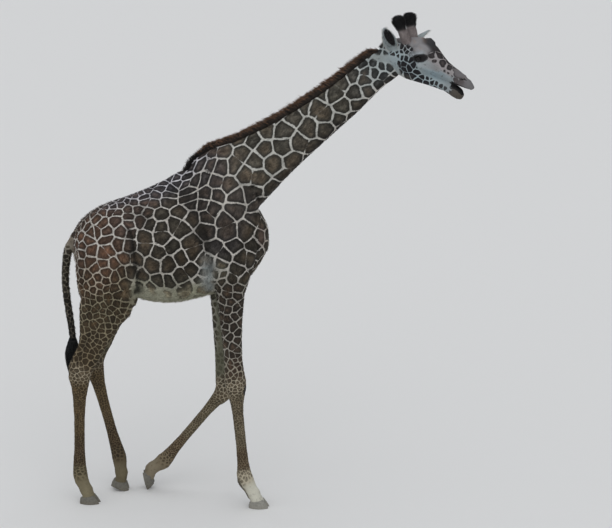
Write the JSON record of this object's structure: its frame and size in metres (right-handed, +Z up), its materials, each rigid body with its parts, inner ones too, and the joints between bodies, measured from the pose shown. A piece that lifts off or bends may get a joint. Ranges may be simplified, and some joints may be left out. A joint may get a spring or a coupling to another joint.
{
  "type": "giraffe",
  "caption": "Life-size standing giraffe in mid stride with its head turned, a still display animal that rests on its own hooves.",
  "frame": {"origin": "on the ground, under the centre of the bounding box", "axes": "+X the way the animal walks, +Y its left side, +Z up"},
  "size_m": [3.3246, 0.8122, 4.0992],
  "materials": {
    "coat": "short flat hair over hide, patched dark brown between pale lines",
    "mane": "short stiff upright hair, dull red-brown",
    "tail_tuft": "long hanging hair, black, dull",
    "ossicone": "haired skin over bone, dark brown with a black top",
    "eye": "wet gloss, nearly black",
    "hoof": "worn grey-brown horn, slightly dull"
  },
  "bodies": {
    "root": {"trunk": "coat", "neck": "coat", "head": "coat", "foreleg_right": "coat", "foreleg_left": "coat", "hindleg_right": "coat", "hindleg_left": "coat", "ear_left": "coat", "ear_right": "coat", "tail": "coat", "ossicone_left": "ossicone", "eye_left": "eye", "ossicone_right": "ossicone", "eye_right": "eye", "hoof_fore_right_left_claw": "hoof", "hoof_fore_right_right_claw": "hoof", "hoof_fore_left_left_claw": "hoof", "hoof_fore_left_right_claw": "hoof", "hoof_hind_right_left_claw": "hoof", "hoof_hind_right_right_claw": "hoof", "hoof_hind_left_left_claw": "hoof", "hoof_hind_left_right_claw": "hoof", "mane": "mane", "tail_tuft": "tail_tuft"}
  },
  "joints": []
}
